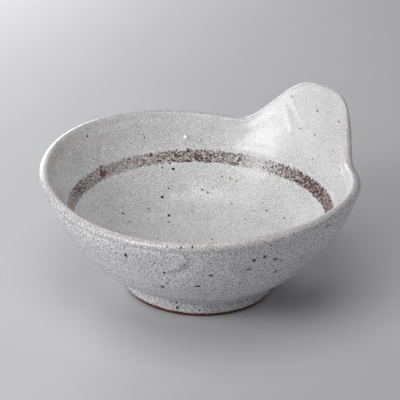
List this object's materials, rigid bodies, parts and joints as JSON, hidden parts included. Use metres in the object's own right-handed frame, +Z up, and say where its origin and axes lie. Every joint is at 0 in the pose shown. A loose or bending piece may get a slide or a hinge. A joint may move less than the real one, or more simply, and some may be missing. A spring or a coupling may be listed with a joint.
{
  "type": "hot pot dipping bowl",
  "caption": "Round glazed stoneware bowl on a foot ring, with an upright tab on the rim to hold it by and an iron stripe round the inside, for dipping food from a hot pot.",
  "frame": {"origin": "under the middle of the whole piece, tab included, on the plane that the foot stands on", "axes": "+X towards the tab, +Z up, +Y across the tab"},
  "size_m": [0.1384, 0.1348, 0.0701],
  "materials": {
    "stoneware": "fired clay, covered by glaze",
    "bare_clay": "matt bare fired clay at the standing edge",
    "glaze": "semi-gloss pale grey-white glaze with fine mottling and iron specks",
    "iron_oxide": "brushed iron oxide melted into the glaze, granular with ragged edges"
  },
  "bodies": {
    "root": {"bowl_body": "stoneware", "tab_handle": "stoneware", "foot_ring": "bare_clay", "glaze_coat": "glaze", "base_glaze": "glaze", "iron_band": "iron_oxide"}
  },
  "joints": []
}
